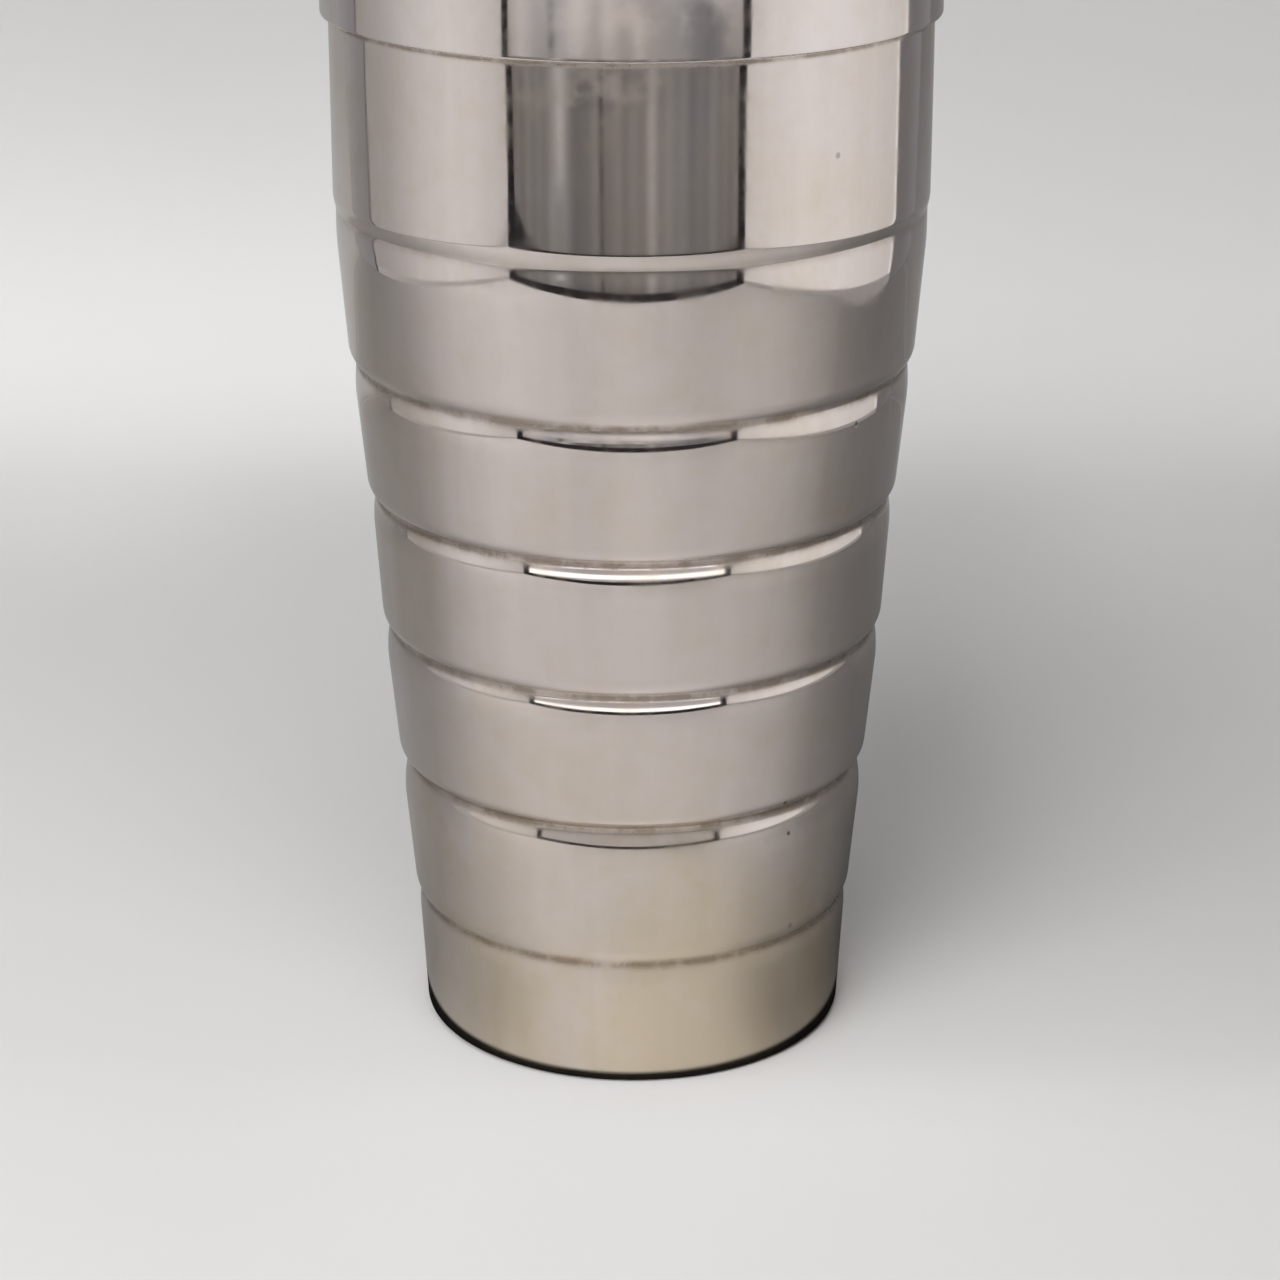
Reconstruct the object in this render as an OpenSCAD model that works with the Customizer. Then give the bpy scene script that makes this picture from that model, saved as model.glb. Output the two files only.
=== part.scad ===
// Three-piece cocktail shaker: a tapered tumbler with six rolled grooves,
// a shouldered lid with a pouring neck and strainer, and a push-on cap.
// Everything is turned about the Z axis. Z = 0 is the plane it stands on.

/* [Tumbler] */
// Outside radius of the wall just above the foot corner
foot_r = 32.5; // [32:0.1:33]
// Outside radius of the wall above the top groove
mouth_r = 43.82; // [43.5:0.01:43.9]
// Outside radius of the expanded lip that the lid grips
lip_r = 44.12; // [44:0.01:44.15]
// Height of the tumbler's rim above the table
rim_z = 175; // [173:0.5:175]
// Thickness of the drawn sheet
wall = 0.8; // [0.6:0.1:0.9]
// Radius of the rounded corner between the wall and the foot
foot_corner = 1.5; // [1:0.1:2]
// Inside radius of the turned-in foot
foot_in_r = 27.5; // [26.9:0.1:28.5]

/* [Rolled grooves] */
// Width of the flat bottom of each groove
valley_w = 0.7; // [0.4:0.1:1]
// Height over which the band above rolls into a groove
roll_h = 2.1; // [1.5:0.1:2.5]
// Taper of the bands, as millimetres of radius for each millimetre of height
taper = 0.0875; // [0.05:0.0025:0.12]

/* [Lid] */
// Outside radius of the skirt that slips over the lip
skirt_r = 45; // [45:0.01:45.02]
// Height of the skirt's lower edge above the table
skirt_z = 157.2; // [153:0.1:161]
// Outside radius at the foot of the dome, above the skirt's step
dome_r = 44.3; // [44.2:0.05:44.5]
// Height at which the dome starts
dome_z0 = 177.4; // [177.2:0.1:179]
// Height of the flat ledge round the neck
ledge_z = 196.5; // [195:0.5:196.5]
// Outside radius of the flat ledge round the neck
ledge_r = 23.5; // [22.8:0.1:25]

/* [Neck and strainer] */
// Outside radius of the pouring neck
neck_r = 20.4; // [20:0.05:20.45]
// Height of the neck's mouth above the table
neck_z = 219; // [215:0.5:219]
// Outside radius of the rolled bead that the cap grips
bead_r = 20.93; // [20.9:0.01:20.97]
// Radius of each strainer hole
hole_r = 1.1; // [0.8:0.1:1.3]
// Spacing between the rings of strainer holes
hole_pitch = 5; // [4.5:0.1:5.5]
// Number of rings of strainer holes round the middle one
hole_rings = 3; // [1:1:3]

/* [Cap] */
// Outside radius of the cap
cap_r = 21.8; // [21.8:0.01:21.82]
// Height of the cap's lower edge above the table
cap_z = 196.8; // [196.8:0.1:198]
// Height at which the cap's wall turns into its crown
crown_z = 224; // [224:0.5:226]
// Height of the middle of the crown
top_z = 229.5; // [228:0.5:232]
// Thickness of the cork disc inside the crown
cork_t = 4.6; // [3:0.1:4.6]

/* [Hidden] */
$fn = 96;

// Each groove from the foot upwards:
// [height, radius in the valley, radius of the band below where its shoulder
//  starts, height of that shoulder, radius of the band above where it rolls in]
grooves = [
    [20.0, 33.20, 33.30, 4.0, 34.02],
    [42.3, 34.88, 35.32, 5.5, 36.08],
    [64.0, 37.14, 37.45, 5.0, 38.14],
    [84.7, 38.74, 39.01, 5.0, 39.93],
    [105.4, 41.06, 41.20, 5.2, 42.19],
    [128.5, 43.38, 43.24, 6.5, 43.85]
];

// Points of one groove, going up: soft shoulder, valley, roll-in
function shoulder(g, n) = let (d = g[2] + taper * g[3] - g[1], z0 = g[0] - valley_w / 2 - g[3])
    [for (k = [0 : n]) let (u = k / n) [g[2] + taper * g[3] * u - d * u * u, z0 + g[3] * u]];
function rollin(g, n) = let (t = g[4] > 43 ? 0 : taper, d = g[4] - t * roll_h - g[1], z1 = g[0] + valley_w / 2 + roll_h)
    [for (k = [n : -1 : 0]) let (u = k / n) [g[4] - t * roll_h * u - d * u * u, z1 - roll_h * u]];
function arc(cx, cz, r, a0, a1, n) = [for (k = [0 : n]) let (a = a0 + (a1 - a0) * k / n) [cx + r * cos(a), cz + r * sin(a)]];
function ell(cx, cz, rx, rz, a0, a1, n) = [for (k = [0 : n]) let (a = a0 + (a1 - a0) * k / n) [cx + rx * cos(a), cz + rz * sin(a)]];
function rev(p) = [for (k = [len(p) - 1 : -1 : 0]) p[k]];
function inset(p, t) = [for (q = p) [q[0] - t, q[1]]];

// Outside of the tumbler wall above the foot corner
wall_pts = concat(
    [for (g = grooves) each concat(shoulder(g, 5), rollin(g, 4))],
    [[mouth_r, 153], [mouth_r, 163], [lip_r, 166], [lip_r, rim_z]]);

module tumbler_shell() color("silver") rotate_extrude() polygon(concat(
    [[foot_in_r, 0]],
    arc(foot_r - foot_corner, foot_corner, foot_corner, -90, 0, 5),
    wall_pts,
    rev(inset(wall_pts, wall)),
    [[foot_r - wall, 1.4], [foot_r - wall - 0.5, wall], [foot_in_r, wall]]));

// Pressed disc soldered on to the turned-in foot, raised clear of the table
module tumbler_base() color("lightgray") rotate_extrude() polygon([
    [0, 3.4], [23.2, 3.4], [26.4, wall], [foot_r - wall - 0.6, wall],
    [foot_r - wall - 0.6, 2 * wall], [26.8, 2 * wall], [23.6, 4.2], [0, 4.2]]);

dome_out = ell(ledge_r, dome_z0, dome_r - ledge_r, ledge_z - dome_z0, 0, 90, 14);
dome_in = ell(ledge_r, dome_z0, dome_r - ledge_r - wall, ledge_z - dome_z0 - wall, 0, 90, 14);

// One drawn shell: skirt, small step, domed shoulder, ledge with the neck hole
module lid_shell() color("silver") rotate_extrude() polygon(concat(
    [[skirt_r - wall, skirt_z], [skirt_r - 0.2, skirt_z], [skirt_r, skirt_z + 0.2], [skirt_r, rim_z + 1],
     [skirt_r - 0.2, rim_z + 1.5]],
    dome_out,
    [[neck_r + 0.05, ledge_z], [neck_r + 0.05, ledge_z - wall]],
    rev(dome_in),
    [[skirt_r - wall, rim_z + 1.4]]));

// Inner collar soldered inside the lid: it guides the rim and stops the lid
module lid_inner_collar() color("lightgray") rotate_extrude() polygon([
    [42.2, rim_z - 8.5], [42.6, rim_z - 9], [43, rim_z - 8.5], [43, rim_z + 0.2], [skirt_r - wall - 0.05, rim_z + 0.2],
    [skirt_r - wall - 0.05, rim_z + 1], [42.2, rim_z + 1]]);

// Pouring neck: tube with a foot flange under the ledge and a rolled bead
module pouring_neck() color("silver") {
    b = arc(neck_r - 0.97, neck_z - 6, bead_r - neck_r + 0.97, -42, 42, 6);
    rotate_extrude() polygon(concat(
        [[neck_r - wall, ledge_z - 2 * wall], [ledge_r - 0.2, ledge_z - 2 * wall], [ledge_r - 0.2, ledge_z - wall],
         [neck_r, ledge_z - wall], [neck_r, b[0][1] - 0.4]],
        b,
        [[neck_r, b[6][1] + 0.4], [neck_r, neck_z - 0.3], [neck_r - 0.3, neck_z], [neck_r - wall + 0.2, neck_z],
         [neck_r - wall, neck_z - 0.2]]));
}

// Perforated disc soldered under the neck's flange
module strainer_disc() color("gainsboro") difference() {
    translate([0, 0, ledge_z - 3 * wall]) cylinder(r = ledge_r - 0.3, h = wall);
    translate([0, 0, ledge_z - 3 * wall - 1]) {
        cylinder(r = hole_r, h = wall + 2, $fn = 24);
        for (i = [1 : hole_rings], k = [0 : 6 * i - 1])
            rotate([0, 0, k * 60 / i + 15 * i]) translate([hole_pitch * i, 0, 0]) cylinder(r = hole_r, h = wall + 2, $fn = 24);
    }
}

cap_in = cap_r - wall;
crown_out = concat(arc(cap_r - 3, crown_z, 3, 0, 68, 6), ell(0, top_z - 3.4, 18.2, 3.4, 24, 90, 8));
crown_in = concat(arc(cap_r - 3, crown_z, 3 - wall, 0, 60, 5), ell(0, top_z - 3.4, 17.6, 3.4 - wall, 28, 90, 8));

// Drawn cap with a rolled lower edge and a shallow crown
module cap_shell() color("silver") rotate_extrude() polygon(concat(
    [[cap_in, cap_z + 0.3], [cap_in + 0.3, cap_z], [cap_r + 0.1, cap_z]],
    arc(cap_r, cap_z + 0.9, 0.7, -60, 80, 6),
    [[cap_r, cap_z + 2]],
    crown_out,
    rev(crown_in)));

// Cork disc pushed up inside the crown, seals the neck's mouth
module cap_cork_liner() color("burlywood")
    translate([0, 0, crown_z - cork_t]) cylinder(r = cap_in - 0.05, h = cork_t);

tumbler_shell();
tumbler_base();
lid_shell();
lid_inner_collar();
pouring_neck();
strainer_disc();
cap_shell();
cap_cork_liner();
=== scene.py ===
import math
import random

import bpy
import numpy as np
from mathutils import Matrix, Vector, geometry


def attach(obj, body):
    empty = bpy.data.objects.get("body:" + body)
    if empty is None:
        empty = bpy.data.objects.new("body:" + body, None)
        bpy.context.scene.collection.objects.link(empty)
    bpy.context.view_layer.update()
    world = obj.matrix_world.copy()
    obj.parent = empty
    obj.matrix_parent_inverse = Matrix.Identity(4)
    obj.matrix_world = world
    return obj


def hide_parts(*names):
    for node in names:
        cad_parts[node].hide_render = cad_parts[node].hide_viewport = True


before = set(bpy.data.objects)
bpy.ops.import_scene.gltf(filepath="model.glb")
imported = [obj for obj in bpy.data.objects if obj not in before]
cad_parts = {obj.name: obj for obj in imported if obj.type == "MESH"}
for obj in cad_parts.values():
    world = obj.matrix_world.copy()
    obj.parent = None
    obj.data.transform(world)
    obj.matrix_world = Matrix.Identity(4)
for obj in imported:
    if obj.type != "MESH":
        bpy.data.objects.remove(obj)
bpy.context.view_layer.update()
random.seed(7)
rng = np.random.default_rng(7)
MM = 0.001
scene = bpy.context.scene
scene.view_settings.view_transform = "Standard"
scene.view_settings.look = "None"
scene.view_settings.exposure = 0.0
scene.view_settings.gamma = 1.0

# ---------------------------------------------------------------- camera
cam_data = bpy.data.cameras.new("camera")
cam_data.sensor_width = 36.0
cam_data.lens = 99.14
cam_data.clip_start = 0.01
cam_data.clip_end = 50.0
cam = bpy.data.objects.new("camera", cam_data)
scene.collection.objects.link(cam)
cam.location = (0.00122, -0.5105, 0.2453)
cam.rotation_euler = (math.radians(90 - 20.0), 0, 0)
scene.camera = cam


# ---------------------------------------------------------------- profiles (millimetres)
WALL = 0.8
TAPER = 0.0875
VALLEY = 0.7
ROLL = 2.1
FOOT_R, MOUTH_R, LIP_R, RIM_Z, CORNER = 32.5, 43.82, 44.12, 175.0, 1.5
# Each groove: height of its valley; radius and height where the shoulder under it starts to turn in; how fast the wall's slope
# changes there, per mm; the slope it ends with; and the radius above the groove.
GROOVES = [
    (20.0, 33.30, 15.65, 0.0560, -0.112, 34.02),
    (42.3, 35.25, 35.55, 0.0600, -0.235, 36.08),
    (64.0, 37.41, 58.07, 0.0550, -0.215, 38.14),
    (84.7, 39.00, 79.24, 0.0550, -0.215, 39.93),
    (105.4, 41.21, 100.00, 0.0440, -0.080, 42.19),
    (128.5, 43.30, 121.80, 0.0200, -0.022, 43.85),
]


def arc(cx, cz, r, a0, a1, n, rz=None):
    rz = r if rz is None else rz
    out = []
    for k in range(n + 1):
        a = math.radians(a0 + (a1 - a0) * k / n)
        out.append((cx + r * math.cos(a), cz + rz * math.sin(a)))
    return out


def wall_polyline(n=40):
    pts = [(FOOT_R, CORNER)]
    for z, rb, z0, k, s1, ra in GROOVES:
        top = z - VALLEY / 2
        turn = min(top, z0 + (TAPER - s1) / k)
        for zz in np.linspace(z0, top, n):
            w = min(zz, turn) - z0
            pts.append((rb + TAPER * (zz - z0) - k * w * w / 2 - max(0.0, zz - turn) * (TAPER - s1), float(zz)))
        rv = pts[-1][0]
        t = 0.0 if ra > 43 else TAPER
        d2 = ra - t * ROLL - rv
        z1 = z + VALLEY / 2 + ROLL
        for i in range(n, -1, -1):
            u = i / n
            pts.append((ra - t * ROLL * u - d2 * u * u, z1 - ROLL * u))
    pts += [(MOUTH_R, 153.0), (MOUTH_R, 163.0), (LIP_R, 166.0), (LIP_R, RIM_Z)]
    return np.array(pts)


def wall_radius(sigma=0.26):
    """Radius against height on a fine grid, with the creases of the rolled grooves eased as a roller leaves them."""
    p = wall_polyline()
    z = np.arange(CORNER, RIM_Z + 0.001, 0.05)
    r = np.interp(z, p[:, 1], p[:, 0])
    half = int(4 * sigma / 0.05)
    k = np.exp(-0.5 * ((np.arange(-half, half + 1) * 0.05) / sigma) ** 2)
    k /= k.sum()
    left = r[0] + (r[1] - r[0]) * np.arange(-half, 0)
    right = np.full(half, r[-1])
    return z, np.convolve(np.concatenate([left, r, right]), k, mode="valid")


ZG, RG = wall_radius()


def ring_heights(fine, coarse):
    """Heights for rings of vertices: close together round the grooves, wide on the plain bands."""
    zs = [CORNER]
    while zs[-1] < RIM_Z - 1e-6:
        z = zs[-1]
        near = any(g[0] - 2.6 < z < g[0] + VALLEY / 2 + ROLL + 0.8 for g in GROOVES)
        turning = any(g[2] - 0.8 < z < g[0] for g in GROOVES)
        near = near or 155.0 < z < 158.0 or 161.5 < z < 167.5 or z < 3 or z > RIM_Z - 1
        zs.append(min(RIM_Z, z + (fine if near else min(coarse, 2.2 * fine) if turning else coarse)))
    return np.array(zs)


# ---------------------------------------------------------------- mesh helpers
def new_mesh(name, verts, faces, materials, mat_index=None, sharp=32.0):
    mesh = bpy.data.meshes.new(name)
    mesh.from_pydata([tuple(v) for v in verts], [], faces)
    for m in materials:
        mesh.materials.append(m)
    if mat_index is not None:
        mesh.polygons.foreach_set("material_index", np.asarray(mat_index, np.int32))
    mesh.shade_smooth()
    mesh.set_sharp_from_angle(angle=math.radians(sharp))
    mesh.update()
    ob = bpy.data.objects.new(name, mesh)
    scene.collection.objects.link(ob)
    return ob


def lathe(name, pts, materials, segs=192, closed=True, band_mat=None, move=None, attrs=None, sharp=32.0):
    """Turns a profile of (r, z) in millimetres about Z. pts runs so that the outside is on its right going up
    (outer wall upwards, inner wall downwards). band_mat gives a material index for each profile segment."""
    pts = [tuple(map(float, p)) for p in pts]
    n = len(pts)
    verts, index = [], []
    th = 2 * math.pi * np.arange(segs) / segs
    cs, sn = np.cos(th), np.sin(th)
    theta_of, z_of, id_of = [], [], []
    for i, (r, z) in enumerate(pts):
        if r < 1e-6:
            index.append([len(verts)] * segs)
            verts.append((0.0, 0.0, z * MM))
            theta_of.append(0.0), z_of.append(z), id_of.append(i)
        else:
            base = len(verts)
            rr = np.full(segs, r)
            zz = np.full(segs, z)
            if move is not None:
                dr, dz = move(th, r, z, i)
                rr = rr + dr
                zz = zz + dz
            index.append(list(range(base, base + segs)))
            for k in range(segs):
                verts.append((rr[k] * cs[k] * MM, rr[k] * sn[k] * MM, zz[k] * MM))
                theta_of.append(th[k]), z_of.append(z), id_of.append(i)
    faces, mats = [], []
    last = n if closed else n - 1
    for i in range(last):
        a, b = index[i], index[(i + 1) % n]
        pa, pb = pts[i][0] < 1e-6, pts[(i + 1) % n][0] < 1e-6
        if pa and pb:
            continue
        m = band_mat[i] if band_mat is not None else 0
        for k in range(segs):
            k2 = (k + 1) % segs
            if pa:
                faces.append((a[k], b[k2], b[k]))
            elif pb:
                faces.append((a[k], a[k2], b[k]))
            else:
                faces.append((a[k], a[k2], b[k2], b[k]))
            mats.append(m)
    ob = new_mesh(name, verts, faces, materials, mats, sharp)
    if attrs:
        tt, zz, ii = np.array(theta_of), np.array(z_of), np.array(id_of)
        for key, fn in attrs.items():
            at = ob.data.attributes.new(key, "FLOAT", "POINT")
            at.data.foreach_set("value", np.asarray(fn(tt, zz, ii), np.float32))
    return ob


def ease(x, a, b):
    t = np.clip((x - a) / (b - a), 0, 1)
    return t * t * (3 - 2 * t)


# ---------------------------------------------------------------- node helpers
def material(name):
    m = bpy.data.materials.new(name)
    m.use_nodes = True
    nt = m.node_tree
    bsdf = next(n for n in nt.nodes if n.type == "BSDF_PRINCIPLED")
    return m, nt, bsdf


class N:
    """Short calls for building node trees."""

    def __init__(self, nt):
        self.nt = nt

    def node(self, kind, **props):
        n = self.nt.nodes.new(kind)
        for k, v in props.items():
            setattr(n, k, v)
        return n

    def put(self, socket, v):
        if hasattr(v, "is_output") or isinstance(v, bpy.types.NodeSocket):
            self.nt.links.new(v, socket)
        else:
            socket.default_value = v

    def coord(self):
        return self.node("ShaderNodeTexCoord").outputs["Object"]

    def scale(self, vec, s, loc=(0, 0, 0)):
        m = self.node("ShaderNodeMapping")
        self.put(m.inputs["Vector"], vec)
        m.inputs["Scale"].default_value = s
        m.inputs["Location"].default_value = loc
        return m.outputs[0]

    def noise(self, vec, scale, detail=3.0, rough=0.5, distort=0.0):
        n = self.node("ShaderNodeTexNoise")
        self.put(n.inputs["Vector"], vec)
        n.inputs["Scale"].default_value = scale
        n.inputs["Detail"].default_value = detail
        n.inputs["Roughness"].default_value = rough
        n.inputs["Distortion"].default_value = distort
        return n.outputs["Fac"]

    def math(self, op, a, b=0.0, clamp=False):
        n = self.node("ShaderNodeMath", operation=op, use_clamp=clamp)
        self.put(n.inputs[0], a)
        self.put(n.inputs[1], b)
        return n.outputs[0]

    def mapr(self, v, a, b, c=0.0, d=1.0, smooth=True):
        n = self.node("ShaderNodeMapRange")
        n.interpolation_type = "SMOOTHSTEP" if smooth else "LINEAR"
        self.put(n.inputs["Value"], v)
        n.inputs["From Min"].default_value = a
        n.inputs["From Max"].default_value = b
        n.inputs["To Min"].default_value = c
        n.inputs["To Max"].default_value = d
        return n.outputs["Result"]

    def mix(self, fac, a, b, blend="MIX"):
        n = self.node("ShaderNodeMix", data_type="RGBA", blend_type=blend)
        self.put(n.inputs["Factor"], fac)
        self.put(n.inputs["A"] if False else n.inputs[6], a)
        self.put(n.inputs[7], b)
        return n.outputs[2]

    def z(self, vec):
        n = self.node("ShaderNodeSeparateXYZ")
        self.put(n.inputs[0], vec)
        return n.outputs[2]

    def attr(self, name):
        return self.node("ShaderNodeAttribute", attribute_name=name).outputs["Fac"]

    def voronoi(self, vec, scale, feature="F1", out="Distance", rand=1.0):
        n = self.node("ShaderNodeTexVoronoi", feature=feature)
        self.put(n.inputs["Vector"], vec)
        n.inputs["Scale"].default_value = scale
        n.inputs["Randomness"].default_value = rand
        return n.outputs[out]

    def bump(self, height, strength, distance, normal=None):
        n = self.node("ShaderNodeBump")
        n.inputs["Strength"].default_value = strength
        n.inputs["Distance"].default_value = distance
        self.put(n.inputs["Height"], height)
        if normal is not None:
            self.put(n.inputs["Normal"], normal)
        return n.outputs["Normal"]


def rgb(r, g, b):
    return (r, g, b, 1.0)


# ---------------------------------------------------------------- materials
def polished(name, clean, tarnish, low_z=None, add_soiling_and_shade=True, rough=0.1, specks=True):
    """Old polished sheet: warm tint, blotchy tarnish, a colour that grows darker and browner towards low_z, brown
    darkening where the attribute 'groove' is set (soiling and painted shade in the creases, painted shadow on the band
    under the lid's skirt and at the foot), wiped vertical streaks, pin-prick pits and hair-fine polishing lines."""
    m, nt, bsdf = material(name)
    g = N(nt)
    co = g.coord()
    z = g.z(co)
    blotch = g.mapr(g.noise(co, 38.0, 4.0, 0.55, 0.4), 0.35, 0.72)
    fine = g.mapr(g.noise(co, 260.0, 3.0, 0.6), 0.3, 0.75)
    streak = g.noise(g.scale(co, (1.0, 1.0, 0.045)), 260.0, 3.0, 0.6)
    wide = g.noise(g.scale(co, (1.0, 1.0, 0.16), (0.3, 0.1, 0.0)), 70.0, 2.0, 0.5)
    mottle = g.mapr(g.noise(co, 95.0, 5.0, 0.65, 0.6), 0.42, 0.70)
    tm = g.math("ADD", g.math("MULTIPLY", blotch, 0.34), g.math("MULTIPLY", mottle, 0.20))
    # Towards low_z the colour grows darker and browner.
    if low_z is not None:
        low = g.mapr(z, low_z, 0.0, 0.0, 1.0)
        lowb = g.math("MULTIPLY", low, g.math("ADD", g.math("MULTIPLY", blotch, 0.55), 0.5))
        tm = g.math("ADD", tm, lowb)
    tm = g.math("ADD", tm, g.math("MULTIPLY", g.math("SUBTRACT", fine, 0.5), 0.24), clamp=True)
    col = g.mix(tm, rgb(*clean), rgb(*tarnish))
    wipe = g.mapr(wide, 0.3, 0.7, 0.965, 1.03)
    sv = g.mapr(streak, 0.25, 0.75, 0.975, 1.02)
    both = g.math("MULTIPLY", wipe, sv)
    comb = g.node("ShaderNodeCombineColor")
    for i in range(3):
        g.put(comb.inputs[i], both)
    col = g.mix(1.0, col, comb.outputs[0], "MULTIPLY")
    r = g.math("ADD", g.math("MULTIPLY", tm, 0.10), rough)
    r = g.math("ADD", r, g.math("MULTIPLY", g.math("SUBTRACT", wide, 0.5), 0.05))
    r = g.math("ADD", r, g.math("MULTIPLY", g.math("SUBTRACT", fine, 0.5), 0.03))
    height = g.math("MULTIPLY", streak, 0.35)
    # Brown darkening from the 'groove' attribute: soiling and painted shade in the creases, and painted shadow under
    # the lid's skirt and at the foot.
    if add_soiling_and_shade:
        gr = g.attr("groove")
        soiling_and_shade = g.math("MULTIPLY", gr, g.mapr(g.noise(g.scale(co, (1, 1, 0.7)), 150.0, 5.0, 0.7), 0.34, 0.62, 0.35, 1.0), clamp=True)
        col = g.mix(g.math("MULTIPLY", soiling_and_shade, 0.72), col, rgb(0.20, 0.145, 0.095))
        r = g.math("ADD", r, g.math("MULTIPLY", soiling_and_shade, 0.25))
    if specks:
        d = g.voronoi(co, 210.0)
        keep = g.mapr(g.voronoi(co, 210.0, "F1", "Color"), 0.86, 0.88)
        spot = g.math("MULTIPLY", g.mapr(d, 0.13, 0.05), keep)
        big = g.math("MULTIPLY", g.mapr(g.voronoi(co, 46.0), 0.022, 0.012), 1.0)
        spot = g.math("MAXIMUM", g.math("MULTIPLY", spot, 0.45), g.math("MULTIPLY", big, 0.85))
        col = g.mix(spot, col, rgb(0.13, 0.10, 0.085))
        r = g.math("ADD", r, g.math("MULTIPLY", spot, 0.3))
        height = g.math("SUBTRACT", height, g.math("MULTIPLY", spot, 1.5))
    g.put(bsdf.inputs["Base Color"], col)
    bsdf.inputs["Metallic"].default_value = 1.0
    g.put(bsdf.inputs["Roughness"], r)
    peel = g.noise(co, 55.0, 2.0, 0.5)
    n1 = g.bump(peel, 0.07, 0.0006)
    g.put(bsdf.inputs["Normal"], g.bump(height, 0.18, 0.00006, n1))
    return m


def spun(name, colour, dark, rough=0.28, radial=False):
    """Satin inside surface with the rings left by spinning, and dull drink stains."""
    m, nt, bsdf = material(name)
    g = N(nt)
    co = g.coord()
    if radial:
        sep = g.node("ShaderNodeSeparateXYZ")
        g.put(sep.inputs[0], co)
        rr = g.math("SQRT", g.math("ADD", g.math("MULTIPLY", sep.outputs[0], sep.outputs[0]), g.math("MULTIPLY", sep.outputs[1], sep.outputs[1])))
        comb = g.node("ShaderNodeCombineXYZ")
        g.put(comb.inputs[0], rr)
        line = g.noise(comb.outputs[0], 2600.0, 3.0, 0.7)
    else:
        line = g.noise(g.scale(co, (0.04, 0.04, 1.0)), 2200.0, 3.0, 0.7)
    stain = g.mapr(g.noise(co, 60.0, 5.0, 0.6, 0.5), 0.42, 0.68)
    col = g.mix(g.math("MULTIPLY", stain, 0.5), rgb(*colour), rgb(*dark))
    col = g.mix(g.mapr(line, 0.3, 0.7, 0.0, 0.18), col, rgb(*dark))
    g.put(bsdf.inputs["Base Color"], col)
    bsdf.inputs["Metallic"].default_value = 1.0
    r = g.math("ADD", g.mapr(line, 0.25, 0.75, rough - 0.05, rough + 0.08), g.math("MULTIPLY", stain, 0.12))
    g.put(bsdf.inputs["Roughness"], r)
    g.put(bsdf.inputs["Normal"], g.bump(line, 0.35, 0.00004))
    return m


def cork_material(name):
    m, nt, bsdf = material(name)
    g = N(nt)
    co = g.coord()
    warp = g.noise(co, 420.0, 2.0, 0.5)
    cell = g.voronoi(co, 620.0, "F1", "Color")
    edge = g.voronoi(co, 620.0, "DISTANCE_TO_EDGE")
    tone = g.mapr(cell, 0.1, 0.9)
    col = g.mix(tone, rgb(0.36, 0.21, 0.105), rgb(0.60, 0.41, 0.235))
    col = g.mix(g.mapr(edge, 0.09, 0.0, 0.0, 0.75), col, rgb(0.19, 0.10, 0.05))
    pores = g.mapr(g.voronoi(g.scale(co, (1, 1, 2.2)), 210.0), 0.2, 0.1)
    col = g.mix(g.math("MULTIPLY", pores, 0.8), col, rgb(0.10, 0.055, 0.03))
    g.put(bsdf.inputs["Base Color"], col)
    g.put(bsdf.inputs["Roughness"], g.mapr(warp, 0.3, 0.7, 0.72, 0.9))
    h = g.math("SUBTRACT", g.math("MULTIPLY", g.mapr(edge, 0.0, 0.12), 0.5), pores)
    g.put(bsdf.inputs["Normal"], g.bump(h, 0.7, 0.0003))
    return m


body_metal = polished("body_metal", (0.665, 0.600, 0.575), (0.595, 0.512, 0.398), low_z=0.060, rough=0.045)
lid_metal = polished("lid_metal", (0.70, 0.645, 0.625), (0.62, 0.53, 0.45), add_soiling_and_shade=True, rough=0.045)
neck_metal = polished("neck_metal", (0.66, 0.605, 0.575), (0.55, 0.46, 0.37), add_soiling_and_shade=True, rough=0.12)
inner_metal = spun("inner_metal", (0.60, 0.565, 0.53), (0.40, 0.345, 0.285), 0.30)
disc_metal = spun("disc_metal", (0.60, 0.56, 0.53), (0.38, 0.32, 0.26), 0.26, radial=True)
strainer_metal = spun("strainer_metal", (0.62, 0.585, 0.555), (0.42, 0.36, 0.30), 0.22, radial=True)
cork = cork_material("cork")


# ---------------------------------------------------------------- tumbler
WAVES = [(rng.integers(1, 7), rng.uniform(0, 6.28), rng.uniform(-0.07, 0.07), rng.uniform(0.5, 1.0)) for _ in range(9)]


def dents(th, z):
    """How far the thin wall stands in or out, in millimetres, from years of knocks and the pull of the rollers."""
    d = 0.0
    for k, ph, m, a in WAVES:
        d = d + 0.011 * a * np.sin(k * th + ph + m * z)
    d = d * ease(np.asarray(z, float), 2.0, 12.0) * (1 - ease(np.asarray(z, float), 149.0, 156.0))
    return d


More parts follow.
